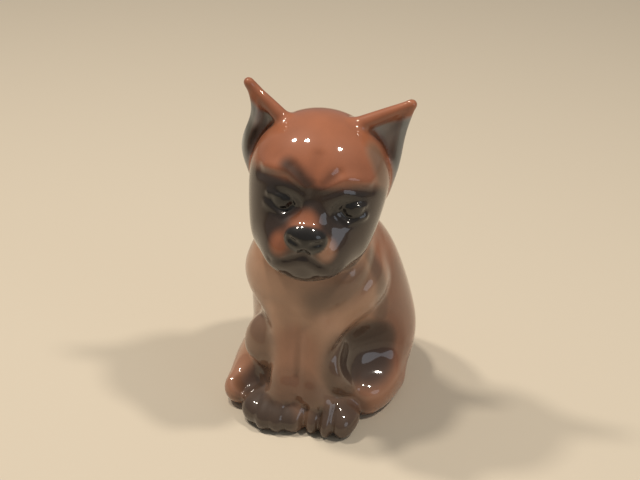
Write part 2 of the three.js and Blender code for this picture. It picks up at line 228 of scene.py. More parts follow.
# Forelegs: places from the shoulder down, and the width of the leg there
SHOULDER = {LEFT: (13, -5, 42), RIGHT: (-12, -6, 42)}
SHOULDER_WIDTH = 15
ARMPIT = both(4.5, -15, 35)
ARMPIT_WIDTH = 13
ELBOW = both(5.4, -15, 30)
ELBOW_WIDTH = 11
ANKLE = both(3.7, -20, 12)
ANKLE_WIDTH = 8.2
INSTEP_HEIGHT = 6
INSTEP_WIDTH = 10
# How far out the instep lies, as a share of the paw's own place
INSTEP_SHARE = 0.75
PAW = {LEFT: (10.8, -19.8, 4), RIGHT: (-7.4, -20.8, 4)}
PAW_SIZE = {LEFT: (14, 14, 9.5), RIGHT: (18, 15, 9.5)}
PAW_TURN = {LEFT: -10, RIGHT: 10}
TOES = {
    LEFT: ((5.4, -23.2), (9.5, -24.0), (14.0, -22.6)),
    RIGHT: ((-0.2, -24.2), (-4.5, -25.6), (-8.8, -25.4), (-13.0, -22.6)),
}
TOE_HEIGHT = 3.2
TOE_SIZE = {LEFT: (5.6, 8.0, 7.4), RIGHT: (6.4, 8.4, 7.4)}
TOE_FILLET = {LEFT: 1.6, RIGHT: 2.6}
SHOULDER_FILLET = 3
INSTEP_FILLET = 4
PAW_FILLET = 3


def foreleg_form(points, side):
    """Upper arm, leg, instep, paw and toes."""
    form = limb(points, ARMPIT[side], ANKLE[side], ARMPIT_WIDTH, ANKLE_WIDTH)
    upper = limb(points, SHOULDER[side], ELBOW[side], SHOULDER_WIDTH, ELBOW_WIDTH)
    form = join(form, upper, SHOULDER_FILLET)
    across, deep, _ = PAW[side]
    instep = (INSTEP_SHARE * across, deep, INSTEP_HEIGHT)
    form = join(form, limb(points, ANKLE[side], instep, ANKLE_WIDTH, INSTEP_WIDTH), INSTEP_FILLET)
    form = join(form, blob(points, PAW[side], PAW_SIZE[side], PAW_TURN[side]), PAW_FILLET)
    for x, y in TOES[side]:
        form = join(form, blob(points, (x, y, TOE_HEIGHT), TOE_SIZE[side]), TOE_FILLET[side])
    return form


# Hind legs: haunch, thigh, knee and foot, and the hollow in the flank above the foot
HAUNCH = {LEFT: (15, 1, 9), RIGHT: (-14.3, 1.7, 8.8)}
HAUNCH_SIZE = {LEFT: (20.6, 34, 24), RIGHT: (19.9, 31.6, 22.4)}
HAUNCH_TURN = {LEFT: 8, RIGHT: -8}
HIP = both(12.5, -1, 13)
HIP_WIDTH = 15
KNEE = {LEFT: (10.6, -14.5, 17.5), RIGHT: (-11.4, -14.2, 22)}
KNEE_WIDTH = 11
KNEE_SIZE = (12.5, 13, 18)
HEEL = {LEFT: (19.2, 2, 4.8), RIGHT: (-20.7, -2, 4.8)}
HEEL_WIDTH = 10.8
HIND_TOE = {LEFT: (15.9, -9.4, 4.8), RIGHT: (-19.6, -16.5, 4.8)}
HIND_TOE_WIDTH = 10
HIND_LEG_FILLET = 4
FLANK_HOLLOW = {LEFT: (20.5, -11.5, 21.3), RIGHT: (-16.4, -19.5, 11.5)}
FLANK_HOLLOW_SIZE = {LEFT: (21.4, 14, 17.3), RIGHT: (10, 9, 11)}
FLANK_HOLLOW_TURN = {LEFT: 45, RIGHT: 0}
FLANK_HOLLOW_ROUNDING = {LEFT: 6, RIGHT: 3}
# The clay behind the left hollow, so that its bowl is smooth
HOLLOW_BACKING = ((18.4, -9.8, 21.3), (20, 13, 16.4))
HOLLOW_BACKING_FILLET = 4


def hind_leg_form(points, side):
    """Haunch, thigh, knee and foot."""
    form = blob(points, HAUNCH[side], HAUNCH_SIZE[side], HAUNCH_TURN[side])
    parts = (
        limb(points, HIP[side], KNEE[side], HIP_WIDTH, KNEE_WIDTH),
        blob(points, KNEE[side], KNEE_SIZE),
        limb(points, HEEL[side], HIND_TOE[side], HEEL_WIDTH, HIND_TOE_WIDTH),
    )
    for part in parts:
        form = join(form, part, HIND_LEG_FILLET)
    return form


def hollowed(form, points, side):
    """The form with the hollow of one flank pressed into it."""
    hollow = blob(points, FLANK_HOLLOW[side], FLANK_HOLLOW_SIZE[side], FLANK_HOLLOW_TURN[side])
    return cut(form, hollow, FLANK_HOLLOW_ROUNDING[side])


# Tail: its middle and size
TAIL = ((0, 28.8, 9), (8, 10, 9))


def tail_form(points):
    """The docked stub at the back."""
    return blob(points, *TAIL)


# Head casting, in the head's frame: middle, size and fillet of each egg
HEAD_EGGS = {
    "skull": ((0, 1, 7), (37.4, 36, 34.4), 0),
    "left cheek": ((8.3, -4, -4.5), (16.8, 24, 24), 6),
    "right cheek": ((-8.3, -4, -4.5), (16.8, 24, 24), 6),
    "muzzle": ((0, -13, -4.5), (19, 17, 14), 5),
    "left flew": ((5, -14.2, -8.5), (11.6, 14, 13), 4.5),
    "right flew": ((-5, -14.2, -8.5), (11.6, 14, 13), 4.5),
    "chin": ((0, -12.5, -13), (12, 12, 9), 3.5),
}
BRIDGE = ((0, -17.4, -1.0), (0, -10, 5), 9.6, 11)
BRIDGE_FILLET = 3
NOSE = ((0, -20.4, -1), (10.4, 6, 7.2))
NOSE_FILLET = 1.2


def head_form(points):
    """The head without its ears, from points in the head's frame."""
    form = run_together(points, HEAD_EGGS)
    form = join(form, limb(points, *BRIDGE), BRIDGE_FILLET)
    return join(form, blob(points, *NOSE), NOSE_FILLET)


# Ears, in the head's frame: a cupped leaf between its inner root, its outer root and its tip
EAR_INNER_ROOT = {LEFT: (7.2, 2.0, 21.6), RIGHT: (-11.0, 2.0, 20.0)}
EAR_OUTER_ROOT = {LEFT: (17.4, 3.5, 3.0), RIGHT: (-17.8, 3.5, 3.0)}
EAR_TIP = {LEFT: (21.3, 3.0, 30.2), RIGHT: (-22.0, 3.0, 29.0)}
EAR_CUP = 6.5
EAR_BACK = both(-0.35, 0.93, 0.0)
EAR_BOW = {LEFT: (0.5, 0.3, 0.0), RIGHT: (-1.8, 0.9, -0.2)}
EAR_LEAF_RADIUS = 1.5
EAR_RIM_RADIUS = 2.2
EAR_RIM_NARROWNESS = 4
EAR_TIP_RADIUS = 1.4
EAR_TOP_ROW = 0.98
EAR_ROWS = 32
EAR_COLUMNS = 28
EAR_SOFTNESS = 1.0
EAR_MARGIN = 5
EAR_FAR = 3
EAR_BATCH = 2000


@functools.lru_cache(maxsize=None)
def ear_leaf(side):
    """Balls that fill the leaf of one ear: their middles and radii, in the head's frame."""
    places = (EAR_INNER_ROOT, EAR_OUTER_ROOT, EAR_TIP, EAR_BACK, EAR_BOW)
    inner, outer, tip, back, bow = (np.array(place[side]) for place in places)
    middles = []
    radii = []
    for rise in np.linspace(0, EAR_TOP_ROW, EAR_ROWS):
        low = inner + (tip - inner) * rise
        high = outer + (tip - outer) * rise + bow * math.sin(2 * math.pi * rise)
        for across in np.linspace(-1, 1, EAR_COLUMNS):
            hollow = EAR_CUP * (1 - rise) * (1 - across * across)
            thickening = max(-across, 0) ** EAR_RIM_NARROWNESS
            rim = EAR_LEAF_RADIUS + (EAR_RIM_RADIUS - EAR_LEAF_RADIUS) * thickening
            middles.append((low + high) / 2 + (high - low) / 2 * across + back * hollow)
            radii.append(rim + (EAR_TIP_RADIUS - rim) * rise)
    return np.array(middles, np.float32), np.array(radii, np.float32)


def ear_form(points, side):
    """One ear, exact near its leaf and rough away from it."""
    middles, radii = ear_leaf(side)
    low = middles.min(0) - EAR_MARGIN
    high = middles.max(0) + EAR_MARGIN
    beyond = np.maximum(low - points, 0) + np.maximum(points - high, 0)
    form = np.linalg.norm(beyond, axis=1) + EAR_FAR
    near = np.flatnonzero((beyond == 0).all(1))
    lengths = (middles * middles).sum(1)
    for some in np.array_split(near, 1 + len(near) // EAR_BATCH):
        place = points[some]
        square = (place * place).sum(1)[:, None] + lengths - 2 * place @ middles.T
        nearness = np.exp((square.min(1, keepdims=True) - square) / EAR_SOFTNESS ** 2)
        nearness /= nearness.sum(1, keepdims=True)
        form[some] = np.linalg.norm(place - nearness @ middles, axis=1) - nearness @ radii
    return form


# Lines carved into the face, in the head's frame: width, height and path of the left side
BROW_CLEFT = (1.6, -0.8, [(0, -13.0, 19), (0, -16.2, 14), (0, -17.2, 8)])
LIP_CLEFT = (0.8, -0.9, [(0, -21.8, -3.6), (0, -21.9, -6.0)])
BROW = (2.4, 0.7, [(3.2, -17.2, 13.0), (8.0, -15.4, 14.4), (14.0, -11.0, 12.6)])
FOLD_UNDER_BROW = (1.4, -0.7, [(3.4, -17.4, 10.6), (8.0, -15.4, 12.3), (15.0, -9.8, 10.2)])
FROWN_LINE = (1.2, -0.6, [(2.6, -16.6, 12.6), (6.0, -14.0, 15.6)])
LIP = (1.2, -0.6, [(0, -21.7, -5.4), (4.0, -21.3, -7.5), (8.0, -18.8, -9.4)])
NOSTRIL = (0.8, -0.9, [(2.0, -23.2, -1.6), (3.8, -22.0, -1.2)])

# Eyes: sockets, balls and lids, measured from the middle of each eye
EYE = {LEFT: (10.2, -13.3, 5.4), RIGHT: (-7.4, -14.5, 5.4)}
SOCKET_OFFSET = (0, -2.6, 0)
SOCKET_SIZE = (9.0, 5.0, 6.0)
SOCKET_ROUNDING = 2.4
BALL_OFFSET = (0, 0.9, 0)
BALL_SIZE = (6.0, 4.2, 5.0)
BALL_FILLET = 0.5
UPPER_LID = (1.0, 0.5, [(-3.6, -1.2, 0.6), (0, -2.4, 2.4), (4.0, 0.6, 1.2)])
LOWER_LID = (1.0, 0.5, [(-3.8, -1.2, -1.0), (0, -2.2, -2.8), (4.2, 0.8, -1.8)])


def face_detail(form, points):
    """Brows, eyes, muzzle and mouth, from points in the head's frame."""
    for line in (BROW_CLEFT, LIP_CLEFT):
        form = carved(form, points, line)
    for side in SIDES:
        eye = along(EYE[side])
        for line in (BROW, FOLD_UNDER_BROW, FROWN_LINE):
            form = carved(form, points, line, side)
        form = cut(form, blob(points, eye + along(SOCKET_OFFSET), SOCKET_SIZE), SOCKET_ROUNDING)
        form = join(form, blob(points, eye + along(BALL_OFFSET), BALL_SIZE), BALL_FILLET)
        for line in (UPPER_LID, LOWER_LID):
            form = carved(form, points, line, side, eye)
        for line in (LIP, NOSTRIL):
            form = carved(form, points, line, side)
    return form


# Lines carved into the body: width, height and path
BIB_EDGE_PATH = [(18.6, -3, 54), (18.3, -8, 50), (16.8, -13, 46), (13.6, -17.6, 41), (9.0, -20.4, 37.5)]
BIB_EDGE = (2.2, -1.0, BIB_EDGE_PATH)
BIB_EDGE_RIGHT = (1.8, -0.6, [(-17, -10, 36), (-13, -16, 33), (-9, -20, 31)])
# Gaps between the toes: depth, and path in plan
TOE_GAPS = (
    (0.9, [(5.0, -17.5), (3.2, -22.0), (2.8, -28.0)]),
    (0.8, [(7.0, -20.0), (7.5, -23.0), (7.7, -30.0)]),
    (0.8, [(10.6, -20.0), (11.4, -23.0), (11.7, -30.0)]),
    (0.35, [(-2.6, -23.5), (-2.4, -31.0)]),
    (0.25, [(-6.6, -24.5), (-6.7, -31.0)]),
    (0.25, [(-10.6, -23.0), (-11.2, -30.0)]),
)
TOE_GAP_WIDTH = 1.0
TOP_OF_TOES = 7.5
TOP_OF_PAWS = 10.5
BACK_OF_TOES = -14


def body_detail(form, points):
    """The edges of the bib and the gaps between the toes."""
    for line in (BIB_EDGE, BIB_EDGE_RIGHT):
        form = carved(form, points, line)
    low = np.flatnonzero((points[:, 2] < TOP_OF_PAWS) & (points[:, 1] < BACK_OF_TOES))
    if len(low):
        plan = points[low] * along((1, 1, 0))
        share = fade(points[low, 2], TOP_OF_TOES, TOP_OF_PAWS)
        for depth, gap in TOE_GAPS:
            away = path_distance(plan, [(x, y, 0) for x, y in gap]) / TOE_GAP_WIDTH
            form[low] += depth * share * np.exp(-away * away)
    return form


# Seams: how far the slip is sponged out where two castings meet
HIND_LEG_SEAM = 2.5
FORELEG_SEAM = 2.2
TAIL_SEAM = 2.5
NECK_SEAM = 6
EAR_SEAM = 2
HEAD_SEAM = 2

# The flat foot, and the pour hole with the hollow that shows through it
TABLE = 0.0
FOOT_ROUNDING = 0.8
POUR_HOLE = (0, 12)
POUR_HOLE_WIDTH = 11
POUR_HOLE_DEPTH = 8
POUR_HOLE_ROUNDING = 0.8
CHAMBER_WIDTH = 26
CHAMBER_FLOOR = 4
CHAMBER_ROUNDING = 1


def drained(form, points):
    """The form cut flat underneath, with its pour hole and the hollow above that."""
    form = cut(form, points[:, 2] - TABLE, FOOT_ROUNDING)
    x, y = POUR_HOLE
    above = np.maximum(points[:, 2] - POUR_HOLE_DEPTH, 0)
    bore = np.hypot(points[:, 0] - x, points[:, 1] - y) + above - POUR_HOLE_WIDTH / 2
    form = cut(form, bore, POUR_HOLE_ROUNDING)
    middle = (x, y, CHAMBER_FLOOR + CHAMBER_WIDTH / 2)
    return cut(form, blob(points, middle, (CHAMBER_WIDTH,) * 3), CHAMBER_ROUNDING)


def luted(points):
    """The castings luted together and sponged smooth at their seams."""
    form = body_form(points)
    for side in SIDES:
        form = join(form, hind_leg_form(points, side), HIND_LEG_SEAM)
    form = hollowed(form, points, RIGHT)
    for side in SIDES:
        form = join(form, foreleg_form(points, side), FORELEG_SEAM)
    backing = blob(points, *HOLLOW_BACKING, FLANK_HOLLOW_TURN[LEFT])
    form = join(form, backing, HOLLOW_BACKING_FILLET)
    form = hollowed(form, points, LEFT)
    form = body_detail(form, points)
    form = join(form, tail_form(points), TAIL_SEAM)
    form = join(form, neck_form(points), NECK_SEAM)
    local = to_head(points)
    head = face_detail(head_form(local), local)
    for side in SIDES:
        head = join(head, ear_form(local, side), EAR_SEAM)
    return drained(join(form, head, HEAD_SEAM), points)


BATCH = 20000


def figurine(points):
    """The whole skin at any number of points, a batch at a time."""
    batches = np.array_split(points, 1 + len(points) // BATCH)
    return np.concatenate([luted(batch) for batch in batches])


CASTINGS = (
    "body_shell", "head_shell", "left_ear", "right_ear",
    "left_foreleg", "right_foreleg", "left_hind_leg", "right_hind_leg", "tail",
)


def owners(points):
    """Which casting each point of the skin belongs to, as a number in CASTINGS."""
    local = to_head(points)
    neck = neck_form(points)
    above = NECK_SEAT - points[:, 2]
    claims = [
        np.minimum(body_form(points), np.maximum(neck, -above)),
        np.minimum(head_form(local), np.maximum(neck, above)),
        *[ear_form(local, side) for side in SIDES],
        *[foreleg_form(points, side) for side in SIDES],
        *[hind_leg_form(points, side) for side in SIDES],
        tail_form(points),
    ]
    return np.argmin(np.stack(claims), axis=0)


# Skin: a closed net of four-sided faces laid over the form, which is worked out on a grid.
# One rough value stands for a block of the grid, and is made exact where the surface is near.
BLOCK = 4
NEAR = 3.2
CELL_CORNERS = 8
MARGIN_STEPS = 3
RELAXATIONS = 2
BORDER_PASSES = 6
PROBE = 0.04
PROBES = along([(1, -1, -1), (-1, -1, 1), (-1, 1, -1), (1, 1, 1)])
FLATTEST = 0.05
LONGEST_MOVE = 0.5


def slope(points):
    """The form's value at points and the direction in which it grows fastest."""
    values = np.stack([figurine(points + PROBE * offset) for offset in PROBES])
    return values.mean(0), values.T @ PROBES / (len(PROBES) * PROBE)


def settled(points):
    """Points moved onto the surface."""
    value, growth = slope(points)
    steep = np.maximum((growth * growth).sum(1), FLATTEST)
    return points - growth * np.clip(value / steep, -LONGEST_MOVE, LONGEST_MOVE)[:, None]


def grid_values(low, counts, step):
    """The form on a grid: exact near the surface, rough away from it."""
    axes = [low[axis] + step * np.arange(counts[axis], dtype=np.float32) for axis in range(3)]
    rough_axes = [axis.reshape(-1, BLOCK).mean(1) for axis in axes]
    rough_points = np.stack(np.meshgrid(*rough_axes, indexing="ij"), -1).reshape(-1, 3)
    values = figurine(rough_points).reshape([len(axis) for axis in rough_axes])
    for axis in range(3):
        values = values.repeat(BLOCK, axis)
    near = np.abs(values) < NEAR
    places = np.argwhere(near).astype(np.float32)
    values[near] = figurine(along(low) + step * places)
    return values


def net_corners(values, cells, low, step):
    """One corner in each cell, in the middle of the places where its edges are crossed."""
    total = np.zeros((len(cells), 3))
    crossings = np.zeros(len(cells))
    for axis in range(3):
        ahead = np.eye(3, dtype=int)[axis]
        for offset in np.ndindex(2, 2, 2):
            if offset[axis]:
                continue
            start = values[tuple((cells + offset).T)]
            end = values[tuple((cells + offset + ahead).T)]
            crossed = (start < 0) != (end < 0)
            share = np.where(crossed, start / np.where(crossed, start - end, 1), 0)
            total += crossed[:, None] * (np.array(offset) + share[:, None] * ahead)
            crossings += crossed
    return (along(low) + step * (cells + total / crossings[:, None])).astype(np.float32)


def net(values, low, step):
    """Corners and faces of a net that parts the grid's inside from its outside."""
    inside = values < 0
    x, y, z = np.array(values.shape) - 1
    filled = sum(
        inside[i:i + x, j:j + y, k:k + z].astype(np.int8) for i, j, k in np.ndindex(2, 2, 2)
    )
    active = (filled > 0) & (filled < CELL_CORNERS)
    cells = np.argwhere(active)
    numbers = np.full(active.shape, -1)
    numbers[active] = np.arange(len(cells))
    faces = []
    for axis in range(3):
        first, second = np.eye(3, dtype=int)[[(axis + 1) % 3, (axis + 2) % 3]]
        start = np.delete(inside, -1, axis)
        edges = np.argwhere(start != np.delete(inside, 0, axis))
        leaves = start[tuple(edges.T)]
        shifts = (first + second, second, np.zeros(3, int), first)
        ring = np.stack([numbers[tuple((edges - shift).T)] for shift in shifts], axis=1)
        ring[~leaves] = ring[~leaves][:, ::-1]
        faces.append(ring)
    return net_corners(values, cells, low, step), np.concatenate(faces)


def edge_ends(faces):
    """The corners at which the edges of faces start and end, in the order of the faces."""
    return faces.ravel(), np.roll(faces, -1, axis=1).ravel()


def relaxed(points, faces):
    """Points drawn half way to the middle of their neighbours."""
    starts, ends = edge_ends(faces)
    here = np.concatenate([starts, ends])
    there = np.concatenate([ends, starts])
    weight = np.bincount(here, minlength=len(points))
    middle = np.stack([np.bincount(here, points[there, axis], len(points)) for axis in range(3)], 1)
    return ((points + middle / weight[:, None]) / 2).astype(np.float32)


def neighbours(faces):
    """Pairs of faces that share an edge."""
    starts, ends = edge_ends(faces)
    owner = np.repeat(np.arange(len(faces)), faces.shape[1])
    key = np.minimum(starts, ends) * np.int64(faces.max() + 1) + np.maximum(starts, ends)
    order = np.argsort(key, kind="stable")
    same = np.flatnonzero(key[order][1:] == key[order][:-1])
    return owner[order[same]], owner[order[same + 1]]


def smooth_borders(labels, pairs):
    """Labels with the ragged borders between castings evened out."""
    one, other = pairs
    for _ in range(BORDER_PASSES):
        votes = np.zeros((len(labels), len(CASTINGS)), np.int16)
        votes[np.arange(len(labels)), labels] += 1
        np.add.at(votes, (one, labels[other]), 1)
        np.add.at(votes, (other, labels[one]), 1)
        labels = votes.argmax(1)
    return labels


def patches(labels, pairs):
    """The number of the patch of one casting that each face lies in."""
    one, other = pairs
    same = labels[one] == labels[other]
    group = np.arange(len(labels))
    while True:
        lowest = group.copy()
        np.minimum.at(lowest, one[same], group[other[same]])
        np.minimum.at(lowest, other[same], group[one[same]])
        lowest = lowest[lowest]
        if (lowest == group).all():
            return group
        group = lowest


def tidied(labels, pairs):
    """Labels with even borders, and with stray patches given to the castings around them."""
    one, other = pairs
    labels = smooth_borders(labels, pairs)
    group = patches(labels, pairs)
    sizes = np.bincount(group, minlength=len(labels))[group]
    largest = [group[np.argmax(np.where(labels == label, sizes, 0))] for label in range(len(CASTINGS))]
    stray = np.array(largest)[labels] != group
    while stray.any():
        touching = stray[one] != stray[other]
        for a, b in zip(one[touching], other[touching]):
            if stray[a]:
                labels[a] = labels[b]
                stray[a] = False
            elif stray[b]:
                labels[b] = labels[a]
                stray[b] = False
    return labels


@functools.lru_cache(maxsize=1)
def skin(step):
    """The whole skin: points, outward directions, faces and the casting of each face."""
    low, high = (np.array(corner) / MM for corner in cad_bounds)
    margin = MARGIN_STEPS * step
    low = low - margin
    counts = [int(math.ceil((span + margin) / step / BLOCK)) * BLOCK for span in high - low]
    points, faces = net(grid_values(low, counts, step), low, step)
    points = settled(points)
    for _ in range(RELAXATIONS):
        points = settled(relaxed(points, faces))
    points = settled(points)
    outward = slope(points)[1]
    outward /= np.maximum(np.linalg.norm(outward, axis=1, keepdims=True), TINY)
    labels = tidied(owners(points[faces].mean(1)), neighbours(faces))
    return points, outward, faces, labels


def border_loops(faces):
    """Rings of corners along the open edges of a patch, in the order of its faces."""
    starts, ends = edge_ends(faces)
    there = set(zip(starts.tolist(), ends.tolist()))
    onward = {}
    for a, b in there:
        if (b, a) not in there:
            onward.setdefault(a, []).append(b)
    loops = []
    while onward:
        first = next(iter(onward))
        loop = []
        here = first
        while here in onward:
            loop.append(here)
            nexts = onward[here]
            following = nexts.pop()
            if not nexts:
                del onward[here]
            here = following
            if here == first:
                break
        loops.append(loop)
    return loops


# Caps that close a casting where it meets the others, all of them under the skin
CAP_INSET = 1.2
CAP_DEPTHS = np.arange(0, 22, 2)
CAP_PROBES = np.linspace(0.1, 1, 8)


def cap_middle(ring, outward):
    """A point inside the figurine from which a ring can be closed without breaking the skin."""
    inward = -outward.mean(0) / (np.linalg.norm(outward.mean(0)) + TINY)
    best = None
    least = math.inf
    for depth in CAP_DEPTHS:
        middle = ring.mean(0) + depth * inward
        spokes = middle + CAP_PROBES[:, None, None] * (ring - middle)
        breach = figurine(spokes.reshape(-1, 3).astype(np.float32)).max()
        if breach < least:
            best = middle
            least = breach
    return best


def casting(name, step):
    """Points, outward directions and faces of one casting, closed where it meets the others."""
    points, outward, faces, labels = skin(step)
    patch = faces[labels == CASTINGS.index(name)]
    if not len(patch):
        raise RuntimeError(f"the skin has no face that belongs to {name}")
    used, patch = np.unique(patch, return_inverse=True)
    patch = patch.reshape(-1, 4)
    points = points[used]
    outward = outward[used]
    closed = patch.tolist()
    for loop in border_loops(patch):
        first = len(points)
        middle = first + len(loop)
        inset = points[loop] - CAP_INSET * outward[loop]
        points = np.vstack([points, inset, cap_middle(inset, outward[loop])])
        outward = np.vstack([outward, outward[loop], [0, 0, 1]])
        for here in range(len(loop)):
            there = (here + 1) % len(loop)
            closed.append((loop[there], loop[here], first + here, first + there))
            closed.append((first + there, first + here, middle))
    return points, outward, closed


# Underglaze: how strongly each paint is sprayed at points of the skin, from 0 to 1.
# A dab is its strength, the distance up to which it is full and the one from which it is gone.


def dabbed(paint, distance, strength, start, end):
    """The paint with a dab added."""
    return np.maximum(paint, strength * fade(distance, start, end))


# Face, in the head's frame
MASK_TOP = 11.8
MASK_BACK = -2.0
MASK_BACK_SOFTNESS = 2.0
MASK_ROUNDING = 8
MASK_DAB = (0.95, -1.2, 1.6)
BLAZE = ((-0.9, -18.0, 0.2), (8.8, 10, 11.4))
MUZZLE_PADS = {LEFT: (5.4, -19.4, -4.0), RIGHT: (-6.6, -19.4, -4.4)}
MUZZLE_PAD_SIZE = (5.2, 8, 6.4)
MUZZLE_FILLET = 3
MUZZLE_EDGE = (-1.4, 1.2)
MUZZLE_WIPED = 0.88
PALE_PAD_SIZE = (7, 9, 8)
PALE_PAD_EDGE = (-2, 1.5)
PALE_PAD_WIPED = 0.75
# Painted shade in the folds of the brow: strength and path of each
FROWN_SHADES = (
    (0.85, [(-7.6, -13.2, 15.0), (-4.2, -15.0, 13.6), (-1.6, -16.0, 11.6)]),
    (0.35, [(2.4, -15.8, 12.0), (4.0, -15.2, 14.6)]),
)
FROWN_SHADE_EDGE = (0.2, 3.8)
PUPIL_OFFSET = (0, -0.4, 0)
PUPIL_SIZE = (6.4, 6.0, 5.0)
PUPIL_DAB = (1.0, -0.2, 0.5)
# Black of each eye spread softly over its socket: eye paint, and painted shade in the deep socket under
# the brow
EYE_SOCKET_SHADE_OFFSET = (0, -1, 0.4)
EYE_SOCKET_SHADE_SIZE = (16, 10, 12)
EYE_SOCKET_SHADE_DAB = (0.8, -3.5, 1.5)
NOSE_LEATHER = ((0, -20.9, -1.2), (10.8, 7, 7.4))
NOSE_DAB = (1.0, 0.0, 0.6)


def face_paint(local, russet, dark_spray_and_shade, black_paint_and_shade):
    """The dark mask with its pale muzzle, painted shade in the folds of the brow, the eyes with painted
    shade in their sockets, and the nose.
    """
    behind = (MASK_BACK - local[:, 1]) / MASK_BACK_SOFTNESS
    mask = cut(local[:, 2] - MASK_TOP, behind, MASK_ROUNDING)
    muzzle = blob(local, *BLAZE)
    for side in SIDES:
        muzzle = join(muzzle, blob(local, MUZZLE_PADS[side], MUZZLE_PAD_SIZE), MUZZLE_FILLET)
    dark_spray_and_shade = dabbed(dark_spray_and_shade, mask, *MASK_DAB) * (1 - MUZZLE_WIPED * fade(muzzle, *MUZZLE_EDGE))
    # Painted shade along the folds of the brow
    for strength, shaded_fold in FROWN_SHADES:
        dark_spray_and_shade = dabbed(dark_spray_and_shade, path_distance(local, shaded_fold), strength, *FROWN_SHADE_EDGE)
    for side in SIDES:
        eye = along(EYE[side])
        pupil = blob(local, eye + along(PUPIL_OFFSET), PUPIL_SIZE)
        # Painted shade over the socket around the black eye
        socket_shade = blob(local, eye + along(EYE_SOCKET_SHADE_OFFSET), EYE_SOCKET_SHADE_SIZE)
        black_paint_and_shade = dabbed(black_paint_and_shade, pupil, *PUPIL_DAB)
        black_paint_and_shade = dabbed(black_paint_and_shade, socket_shade, *EYE_SOCKET_SHADE_DAB)
    black_paint_and_shade = dabbed(black_paint_and_shade, blob(local, *NOSE_LEATHER), *NOSE_DAB)
    pale = fade(blob(local, MUZZLE_PADS[LEFT], PALE_PAD_SIZE), *PALE_PAD_EDGE)
    return russet * (1 - PALE_PAD_WIPED * pale), dark_spray_and_shade, black_paint_and_shade


# Ears, in the head's frame
EAR_EDGE = (0.6, 2.2)
EAR_ROOT_EDGE = (-2.0, 0.5)
CONCHA_FACING = (-0.15, 0.1)
FRONT_RIM_EDGE = (2.4, 3.8)
CONCHA_SMOKE = 0.02
CONCHA_TIP_SMOKE = 0.6
CONCHA_TIP_EDGE = (5, 14)
# Painted shade along the outer edge of each ear, left off near the tip
OUTER_RIM_SHADE = {LEFT: 0.7, RIGHT: 0.85}
OUTER_RIM_EDGE = (1, 3)
CLEAN_TIP_EDGE = (3, 7)
OVERSPRAY = [(14.5, -4.0, 18.0), (17.0, -5.0, 12.0), (18.5, -4.0, 6.0)]
OVERSPRAY_EDGE = (1.5, 5)
OVERSPRAY_WIPED = 0.85
OVERSPRAY_SMOKE = 0.5


def ear_paint(local, facing, russet, dark_spray_and_shade):
    """Grey hollows of russet ears, painted shade along their outer edges, and the overspray below the
    left one.
    """
    skull = head_form(local)
    for side in SIDES:
        inner = EAR_INNER_ROOT[side]
        outer = EAR_OUTER_ROOT[side]
        tip = EAR_TIP[side]
        form = ear_form(local, side)
        ear = fade(form, *EAR_EDGE) * fade(form - skull, *EAR_ROOT_EDGE)
        from_tip = np.linalg.norm(local - along(tip), axis=1)
        front_rim = fade(path_distance(local, [inner, tip]), *FRONT_RIM_EDGE)
        concha = ear * fade(facing[:, 1], *CONCHA_FACING) * (1 - front_rim)
        russet = russet * (1 - concha)
        grey = CONCHA_SMOKE + CONCHA_TIP_SMOKE * fade(from_tip, *CONCHA_TIP_EDGE)
        # Painted shade along the outer edge
        outer_rim = fade(path_distance(local, [outer, tip]), *OUTER_RIM_EDGE)
        edge = OUTER_RIM_SHADE[side] * outer_rim * (1 - fade(from_tip, *CLEAN_TIP_EDGE))
        dark_spray_and_shade = np.maximum(dark_spray_and_shade, np.maximum(concha * grey, ear * edge))
    overspray = fade(path_distance(local, OVERSPRAY), *OVERSPRAY_EDGE)
    russet = russet * (1 - OVERSPRAY_WIPED * overspray)
    return russet, np.maximum(dark_spray_and_shade, OVERSPRAY_SMOKE * overspray)


# Body and legs
BACK_RUSSET = (0.85, 1, 10)
PANEL = [(0, -22, 27), (0, -25, 14)]
PANEL_RUSSET = (0.45, 4, 9)
# Painted shade in the fold behind the shoulder, from under the neck down the side
FLANK_FOLD = [(17.5, -8, 52), (20.0, -8, 43), (20.2, -4.7, 35), (19.5, -5, 30)]
FLANK_FOLD_SHADE = {LEFT: (0.6, 0.8, 5), RIGHT: (0.35, 0.8, 5)}
BIB_SHADE = [(6.0, -21.5, 42.5), (11.0, -19, 45), (16.0, -14.5, 48)]
BIB_SMOKE = (0.6, 1, 8)
# Painted shade low on the forelegs and in the gap between the paws
ANKLE_SHADE = ((1, -23, 7), (32, 14, 24))
ANKLE_SHADE_DAB = (0.55, -4, 5)
# Painted shade on each side of the body
FLANK_SHADE = both(24, 2, 30)
FLANK_SHADE_SIZE = (14, 20, 40)
FLANK_SHADE_DAB = (0.4, -4, 4)
HAUNCH_SPRAY = both(22, -6, 7)
HAUNCH_SPRAY_SIZE = (16, 34, 20)
HAUNCH_RUSSET = (0.5, -2, 5)
# Painted shade on each knee, beside the flank hollow
KNEE_SHADE_OFFSET = (0, -3, 1)
KNEE_SHADE_SIZE = (15, 14, 26)
KNEE_SHADE = {LEFT: (0.72, -4, 3), RIGHT: (0.55, -4, 3)}
PAW_SPRAY_OFFSET = (0, -3, 0)
PAW_SPRAY_GROWTH = (6, 12, 6)
PAW_SMOKE = {LEFT: (0.82, -4, 3), RIGHT: (0.9, -4, 3)}
# Painted shade in the hollow of each flank, darkest on the left
HOLLOW_SHADE = {LEFT: (19.5, -11.0, 21.4), RIGHT: (-14.8, -18.5, 10.0)}
HOLLOW_SHADE_SIZE = {LEFT: (25, 18, 19.5), RIGHT: (9, 10, 14)}
HOLLOW_SHADE_SPRAY = (0.8, -1.5, 2.5)
HOLLOW_SHADE_BLACK = {LEFT: (0.6, -4, 1), RIGHT: (0.2, -4, 1)}


